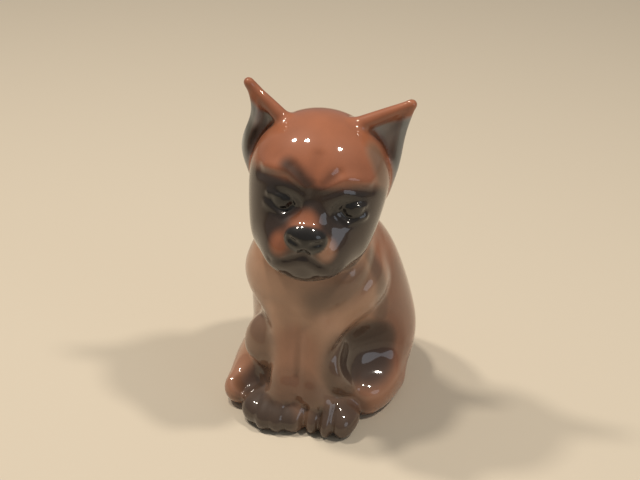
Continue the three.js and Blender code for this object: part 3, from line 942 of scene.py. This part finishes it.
def leg_paint(points, side, russet, dark_spray_and_shade, black_paint_and_shade):
    """Russet haunch, dark spray on the paw, and painted shade on the flank and the knee and in the
    hollow.
    """
    # Painted shade on the side of the body
    dark_spray_and_shade = dabbed(dark_spray_and_shade, blob(points, FLANK_SHADE[side], FLANK_SHADE_SIZE), *FLANK_SHADE_DAB)
    russet = dabbed(russet, blob(points, HAUNCH_SPRAY[side], HAUNCH_SPRAY_SIZE), *HAUNCH_RUSSET)
    # Painted shade on the knee
    knee = along(KNEE[side]) + along(KNEE_SHADE_OFFSET)
    dark_spray_and_shade = dabbed(dark_spray_and_shade, blob(points, knee, KNEE_SHADE_SIZE), *KNEE_SHADE[side])
    paw = along(PAW[side]) + along(PAW_SPRAY_OFFSET)
    paw_size = along(PAW_SIZE[side]) + along(PAW_SPRAY_GROWTH)
    dark_spray_and_shade = dabbed(dark_spray_and_shade, blob(points, paw, paw_size), *PAW_SMOKE[side])
    # Painted shade in the flank hollow
    hollow = blob(points, HOLLOW_SHADE[side], HOLLOW_SHADE_SIZE[side], FLANK_HOLLOW_TURN[side])
    dark_spray_and_shade = dabbed(dark_spray_and_shade, hollow, *HOLLOW_SHADE_SPRAY)
    return russet, dark_spray_and_shade, dabbed(black_paint_and_shade, hollow, *HOLLOW_SHADE_BLACK[side])


def body_paint(points, russet, dark_spray_and_shade, black_paint_and_shade):
    """Russet back and breast, and dark spray: on the paws, and as painted shade in the folds, low on
    the forelegs and on the flanks, knees and hollows.
    """
    russet = dabbed(russet, -points[:, 1], *BACK_RUSSET)
    russet = dabbed(russet, path_distance(points, PANEL), *PANEL_RUSSET)
    dark_spray_and_shade = dabbed(dark_spray_and_shade, path_distance(points, BIB_SHADE), *BIB_SMOKE)
    # Painted shade low on the forelegs and between the paws
    dark_spray_and_shade = dabbed(dark_spray_and_shade, blob(points, *ANKLE_SHADE), *ANKLE_SHADE_DAB)
    for side in SIDES:
        # Painted shade in the fold behind each shoulder
        fold = path_distance(points, mirrored(FLANK_FOLD, side))
        dark_spray_and_shade = dabbed(dark_spray_and_shade, fold, *FLANK_FOLD_SHADE[side])
        russet, dark_spray_and_shade, black_paint_and_shade = leg_paint(points, side, russet, dark_spray_and_shade, black_paint_and_shade)
    return russet, dark_spray_and_shade, black_paint_and_shade


# Where the head's russet ends below, where its mask ends, and how high the wiped foot reaches
HEAD_RUSSET_EDGE = (11, 15)
JAW_EDGE = (17, 20)
ON_HEAD_EDGE = (0.6, 1.8)
BARE_FOOT_EDGE = (0.05, 0.3)


def sprayed(points, outward):
    """Strengths of the paints over the bare wash, by name."""
    local = to_head(points)
    none = np.zeros(len(points))
    russet, dark_spray_and_shade, black_paint_and_shade = body_paint(points, none, none, none)
    russet = np.maximum(russet, fade(-local[:, 2], *HEAD_RUSSET_EDGE))
    russet, face_spray_and_shade, face_black_and_shade = face_paint(local, russet, none, none)
    jaw = fade(-local[:, 2], *JAW_EDGE) * fade(head_form(local), *ON_HEAD_EDGE)
    dark_spray_and_shade = np.maximum(dark_spray_and_shade, face_spray_and_shade * jaw)
    black_paint_and_shade = np.maximum(black_paint_and_shade, face_black_and_shade * jaw)
    russet, dark_spray_and_shade = ear_paint(local, outward @ HEAD_AXES, russet, dark_spray_and_shade)
    bare = fade(points[:, 2], *BARE_FOOT_EDGE)
    return {"russet": russet, "fawn": 1 - russet, "dark_spray_and_shade": dark_spray_and_shade, "black_paint_and_shade": black_paint_and_shade, "bare": bare}


# Materials


def linear(hex_colour):
    """A colour given as sRGB hex, in the linear values that shaders take."""
    channels = [int(hex_colour[i:i + 2], 16) / 255 for i in (1, 3, 5)]
    return [c / 12.92 if c <= 0.04045 else ((c + 0.055) / 1.055) ** 2.4 for c in channels]


def node(tree, kind, settings=None, links=None):
    """Adds a node, sets its properties or sockets, and links other nodes' sockets into it."""
    made = tree.nodes.new(kind)
    for name, value in (settings or {}).items():
        if isinstance(name, int) or name in made.inputs:
            made.inputs[name].default_value = value
        else:
            setattr(made, name, value)
    for name, socket in (links or {}).items():
        tree.links.new(socket, made.inputs[name])
    return made


# Numbered sockets of a colour mix and of a sum
MIX_SHARE = 0
MIX_UNDER = 6
MIX_OVER = 7
MIX_RESULT = 2
SUM_FIRST = 0
SUM_SECOND = 1
SUM_THIRD = 2

# Sprayed dots are about a tenth of a millimetre wide, and are drawn coarser so that they show
SPRAY_DOT = 0.35
SPRAY_CLOUD = 7.0
DOTS_TO_CLOUDS = 0.25
UNEVEN_RANGE = (0.35, 0.9)
TONE_RANGE = (0.9, 1.1)
ORANGE_PEEL = 2.5
ORANGE_PEEL_DEPTH = 0.012
PAINT_ROUGHNESS = 0.55
PAINT_SPECULAR = 0.2
GLAZE_ROUGHNESS = 0.06
GLAZE_IOR = 1.52


def underglaze(tree, place, wash, paints):
    """Colour of the wash with its paints over it, which is a little cloudy and faintly dotted."""
    colour = None
    for paint, tint in paints:
        strength = node(tree, "ShaderNodeAttribute", {"attribute_name": paint}).outputs["Fac"]
        settings = {"data_type": "RGBA", MIX_UNDER: (*wash, 1), MIX_OVER: (*tint, 1)}
        links = {MIX_SHARE: strength}
        if colour:
            links[MIX_UNDER] = colour
        colour = node(tree, "ShaderNodeMix", settings, links).outputs[MIX_RESULT]
    settings = {"Scale": 1 / (SPRAY_DOT * MM), "Detail": 1.0}
    dots = node(tree, "ShaderNodeTexNoise", settings, place).outputs["Fac"]
    settings = {"Scale": 1 / (SPRAY_CLOUD * MM), "Detail": 2.0}
    clouds = node(tree, "ShaderNodeTexNoise", settings, place).outputs["Fac"]
    uneven = node(
        tree,
        "ShaderNodeMath",
        {"operation": "MULTIPLY_ADD", SUM_SECOND: DOTS_TO_CLOUDS},
        {SUM_FIRST: dots, SUM_THIRD: clouds},
    )
    ends = zip(("From Min", "From Max", "To Min", "To Max"), UNEVEN_RANGE + TONE_RANGE)
    lift = node(tree, "ShaderNodeMapRange", dict(ends), {"Value": uneven.outputs[0]})
    links = {"Color": colour, "Value": lift.outputs[0]}
    return node(tree, "ShaderNodeHueSaturation", None, links).outputs[0]


def glaze(name, wash, paints, bisque):
    """Sprayed and brushed underglaze paint on porcelain, under a clear fired glaze.

    The paint is soft-edged, a little cloudy and faintly dotted. The glaze is a smooth, hard, clear coat
    that gives small sharp lights, and a very slight orange peel makes them tremble. The foot is wiped
    clean before the firing, so it is bare, matt and nearly white.
    """
    material = bpy.data.materials.get(name) or bpy.data.materials.new(name)
    material.use_nodes = True
    tree = material.node_tree
    tree.nodes.clear()
    place = {"Vector": node(tree, "ShaderNodeTexCoord").outputs["Object"]}
    painted = underglaze(tree, place, wash, paints)
    bare = node(tree, "ShaderNodeAttribute", {"attribute_name": "bare"}).outputs["Fac"]
    settings = {"data_type": "RGBA", MIX_OVER: (*bisque, 1)}
    foot = node(tree, "ShaderNodeMix", settings, {MIX_SHARE: bare, MIX_UNDER: painted})
    settings = {"operation": "SUBTRACT", SUM_FIRST: 1.0}
    coat = node(tree, "ShaderNodeMath", settings, {SUM_SECOND: bare})
    settings = {"Scale": 1 / (ORANGE_PEEL * MM), "Detail": 1.0}
    ripple = node(tree, "ShaderNodeTexNoise", settings, place).outputs["Fac"]
    settings = {"Strength": 1.0, "Distance": ORANGE_PEEL_DEPTH * MM}
    peel = node(tree, "ShaderNodeBump", settings, {"Height": ripple})
    settings = {
        "Roughness": PAINT_ROUGHNESS,
        "Specular IOR Level": PAINT_SPECULAR,
        "Coat Roughness": GLAZE_ROUGHNESS,
        "Coat IOR": GLAZE_IOR,
    }
    links = {
        "Base Color": foot.outputs[MIX_RESULT],
        "Coat Weight": coat.outputs[0],
        "Coat Normal": peel.outputs[0],
    }
    surface = node(tree, "ShaderNodeBsdfPrincipled", settings, links)
    node(tree, "ShaderNodeOutputMaterial", None, {"Surface": surface.outputs[0]})
    return material


# The wash of each of the record's slots, and the paint that is sprayed over it first
SLOT_WASHES = {
    "fawn_glaze": ("fawn", "russet"),
    "russet_glaze": ("russet", "fawn"),
    "umber_glaze": ("grey", "russet"),
}


def slot_material(slot, glazes):
    """The glaze of one of the record's slots."""
    wash, spray = SLOT_WASHES[slot]
    name = f"{wash}_underglaze_on_porcelain"
    paints = [(paint, getattr(glazes, paint)) for paint in (spray, "dark_spray_and_shade", "black_paint_and_shade")]
    return glaze(name, getattr(glazes, wash), paints, glazes.bisque)


# Digits of the step in millimetres that a property keeps exactly
STEP_DIGITS = 4


def build_casting(name, slot, settings):
    """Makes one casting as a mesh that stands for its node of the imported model."""
    points, outward, faces = casting(name, round(settings.step / MM, STEP_DIGITS))
    mesh = bpy.data.meshes.new(name)
    mesh.from_pydata((points * MM).tolist(), [], faces)
    mesh.shade_smooth()
    mesh.normals_split_custom_set_from_vertices(outward.tolist())
    for paint, values in sprayed(points, outward).items():
        attribute = mesh.attributes.new(paint, "FLOAT", "POINT")
        attribute.data.foreach_set("value", values.astype(np.float32))
    mesh.materials.append(slot_material(slot, settings))
    piece = bpy.data.objects.new(f"glazed_{name}", mesh)
    bpy.context.scene.collection.objects.link(piece)
    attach(piece, "root")
    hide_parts(name)


# Properties


def colour_property(name, description, hex_colour):
    """A colour that a user may change."""
    return bpy.props.FloatVectorProperty(
        name=name, description=description, default=linear(hex_colour), min=0, max=1, subtype="COLOR",
    )


class PuppySettings(bpy.types.PropertyGroup):
    step: bpy.props.FloatProperty(
        name="Skin step",
        description="Spacing of the net that is laid over the sculpted form",
        default=0.62 * MM,
        min=0.3 * MM,
        precision=5,
        unit="LENGTH",
    )
    fawn: colour_property("Fawn", "Wash of the bib and the forelegs", "#A68066")
    russet: colour_property("Russet", "Paint of the head, the back and the haunches", "#935A3E")
    grey: colour_property("Grey", "Pale wash in the hollows of the ears", "#BCBEBA")
    # Dark spray of the mask and the paws; the same colour is also the painted shade in the folds, on
    # the flanks and knees, in the hollows and along the ears' outer edges
    dark_spray_and_shade: colour_property("Smoke", "Dark spray of the mask, the paws and the folds", "#241E19")
    # Black paint of the eyes and the nose; the same black is also painted shade in the eye sockets and
    # the flank hollows
    black_paint_and_shade: colour_property("Black", "Brushed paint of the eyes and the nose", "#0F0B09")
    bisque: colour_property("Bisque", "Bare porcelain of the wiped foot", "#E9E2D6")


class StudioSettings(bpy.types.PropertyGroup):
    lamp_power: bpy.props.FloatProperty(
        name="Lamp power",
        description="Power of each of the soft lamps overhead",
        default=2.1,
        min=0.0,
        unit="POWER",
    )
    window_power: bpy.props.FloatProperty(
        name="Window power",
        description="Power of the wide soft light at the dog's left",
        default=0.5,
        min=0.0,
        unit="POWER",
    )
    floor: colour_property("Floor", "Pale card that the figurine stands on", "#C8BEAC")


# Operators


class CastingOperator:
    """What the operators of all castings share"""
    bl_options = {"REGISTER", "UNDO"}
    nodes = ()
    slot = ""

    def execute(self, context):
        for name in self.nodes:
            build_casting(name, self.slot, context.scene.porcelain_puppy)
        return {"FINISHED"}


class PORCELAIN_OT_body(CastingOperator, bpy.types.Operator):
    """Builds the body casting"""
    bl_idname = "porcelain.body"
    bl_label = "Body"
    nodes = ("body_shell",)
    slot = "fawn_glaze"


class PORCELAIN_OT_head(CastingOperator, bpy.types.Operator):
    """Builds the head casting"""
    bl_idname = "porcelain.head"
    bl_label = "Head"
    nodes = ("head_shell",)
    slot = "russet_glaze"


class PORCELAIN_OT_ears(CastingOperator, bpy.types.Operator):
    """Builds both ears"""
    bl_idname = "porcelain.ears"
    bl_label = "Ears"
    nodes = ("left_ear", "right_ear")
    slot = "umber_glaze"


class PORCELAIN_OT_forelegs(CastingOperator, bpy.types.Operator):
    """Builds both forelegs with their paws"""
    bl_idname = "porcelain.forelegs"
    bl_label = "Forelegs"
    nodes = ("left_foreleg", "right_foreleg")
    slot = "fawn_glaze"


class PORCELAIN_OT_hind_legs(CastingOperator, bpy.types.Operator):
    """Builds both hind legs"""
    bl_idname = "porcelain.hind_legs"
    bl_label = "Hind legs"
    nodes = ("left_hind_leg", "right_hind_leg")
    slot = "russet_glaze"


class PORCELAIN_OT_tail(CastingOperator, bpy.types.Operator):
    """Builds the tail"""
    bl_idname = "porcelain.tail"
    bl_label = "Tail"
    nodes = ("tail",)
    slot = "russet_glaze"


# Stage, in millimetres and degrees
CAMERA_AZIMUTH = 18
CAMERA_ELEVATION = 30
CAMERA_AIM = (-1.7, 4, 47)
CAMERA_DISTANCE = 350
CAMERA_LENS = 67.9
CAMERA_NEAREST = 10
FLOOR_REACH = 3000
FLOOR_ROUGHNESS = 0.8
WORLD_COLOUR = "#E8E6E2"
WORLD_STRENGTH = 0.28
LAMP_DISTANCE = 700
LAMP_SIZE = 60
LAMP_COLOUR = "#FFF4E6"
LAMP_DIRECTIONS = ((-0.51, -0.06, 0.86), (-0.23, -0.1, 0.97), (0.5, -0.04, 0.87))
WINDOW_AZIMUTH = 68
WINDOW_ELEVATION = 16
WINDOW_SIZE = 340
WINDOW_COLOUR = "#DDE6F2"


def from_direction(azimuth, elevation):
    """Unit vector towards a viewer at that azimuth and height above the horizon, in degrees."""
    a = math.radians(azimuth)
    e = math.radians(elevation)
    return Vector((math.sin(a) * math.cos(e), -math.cos(a) * math.cos(e), math.sin(e)))


def aimed(made, direction, distance):
    """Links an object that looks at the middle of the figurine from that direction."""
    bpy.context.scene.collection.objects.link(made)
    aim = Vector(CAMERA_AIM)
    place = aim + direction * distance
    made.location = place * MM
    made.rotation_euler = (aim - place).to_track_quat("-Z", "Y").to_euler()
    return made


def soft_lamp(name, size, power, colour, direction):
    """A round soft lamp."""
    lamp = bpy.data.lights.new(name, "AREA")
    lamp.shape = "DISK"
    lamp.size = size * MM
    lamp.energy = power
    lamp.color = linear(colour)
    aimed(bpy.data.objects.new(name, lamp), direction, LAMP_DISTANCE)


def floor_card(colour):
    """Pale matt card: coated paper, an even ground that takes a soft shadow and hardly any sheen."""
    card = bpy.data.materials.new("pale_matt_card")
    card.use_nodes = True
    surface = card.node_tree.nodes["Principled BSDF"]
    surface.inputs["Base Color"].default_value = (*colour, 1)
    surface.inputs["Roughness"].default_value = FLOOR_ROUGHNESS
    return card


def lay_floor(scene, colour):
    """A wide flat floor of card."""
    reach = FLOOR_REACH * MM
    corners = [(-reach, -reach, 0), (reach, -reach, 0), (reach, reach, 0), (-reach, reach, 0)]
    mesh = bpy.data.meshes.new("floor")
    mesh.from_pydata(corners, [], [(0, 1, 2, 3)])
    mesh.materials.append(floor_card(colour))
    floor = bpy.data.objects.new("floor", mesh)
    scene.collection.objects.link(floor)


def light_studio(scene, studio):
    """Dim even surroundings, small lamps overhead and a wide window at the dog's left."""
    world = bpy.data.worlds.new("studio")
    world.use_nodes = True
    background = world.node_tree.nodes["Background"]
    background.inputs["Color"].default_value = (*linear(WORLD_COLOUR), 1)
    background.inputs["Strength"].default_value = WORLD_STRENGTH
    scene.world = world
    for number, direction in enumerate(LAMP_DIRECTIONS):
        name = f"ceiling_lamp_{number}"
        soft_lamp(name, LAMP_SIZE, studio.lamp_power, LAMP_COLOUR, Vector(direction))
    window = from_direction(WINDOW_AZIMUTH, WINDOW_ELEVATION)
    soft_lamp("window_light", WINDOW_SIZE, studio.window_power, WINDOW_COLOUR, window)


def place_camera(scene):
    """The camera at the photograph's viewing angle."""
    camera = bpy.data.cameras.new("camera")
    camera.lens = CAMERA_LENS
    camera.clip_start = CAMERA_NEAREST * MM
    view = from_direction(CAMERA_AZIMUTH, CAMERA_ELEVATION)
    scene.camera = aimed(bpy.data.objects.new("camera", camera), view, CAMERA_DISTANCE)


class PORCELAIN_OT_stage(bpy.types.Operator):
    """Sets a pale floor, soft studio light and the camera"""
    bl_idname = "porcelain.stage"
    bl_label = "Stage"
    bl_options = {"REGISTER", "UNDO"}

    def execute(self, context):
        scene = context.scene
        lay_floor(scene, scene.porcelain_studio.floor)
        light_studio(scene, scene.porcelain_studio)
        place_camera(scene)
        scene.view_settings.view_transform = "Standard"
        return {"FINISHED"}


# Panel and registration

STEPS = (
    PORCELAIN_OT_body,
    PORCELAIN_OT_head,
    PORCELAIN_OT_ears,
    PORCELAIN_OT_forelegs,
    PORCELAIN_OT_hind_legs,
    PORCELAIN_OT_tail,
    PORCELAIN_OT_stage,
)


class PORCELAIN_PT_panel(bpy.types.Panel):
    """Lists the settings, and the castings in the order in which they are built"""
    bl_idname = "PORCELAIN_PT_panel"
    bl_label = "Porcelain puppy"
    bl_space_type = "VIEW_3D"
    bl_region_type = "UI"
    bl_category = "Porcelain"

    def draw(self, context):
        for settings in (context.scene.porcelain_puppy, context.scene.porcelain_studio):
            for name in settings.bl_rna.properties.keys():
                if name not in {"rna_type", "name"}:
                    self.layout.prop(settings, name)
        for step in STEPS:
            self.layout.operator(step.bl_idname)


CLASSES = (PuppySettings, StudioSettings, *STEPS, PORCELAIN_PT_panel)


def register():
    for cls in CLASSES:
        bpy.utils.register_class(cls)
    bpy.types.Scene.porcelain_puppy = bpy.props.PointerProperty(type=PuppySettings)
    bpy.types.Scene.porcelain_studio = bpy.props.PointerProperty(type=StudioSettings)


def unregister():
    del bpy.types.Scene.porcelain_studio
    del bpy.types.Scene.porcelain_puppy
    for cls in reversed(CLASSES):
        bpy.utils.unregister_class(cls)


def main():
    register()
    bpy.ops.porcelain.body()
    bpy.ops.porcelain.head()
    bpy.ops.porcelain.ears()
    bpy.ops.porcelain.forelegs()
    bpy.ops.porcelain.hind_legs()
    bpy.ops.porcelain.tail()
    bpy.ops.porcelain.stage()


if __name__ == "__main__":
    main()
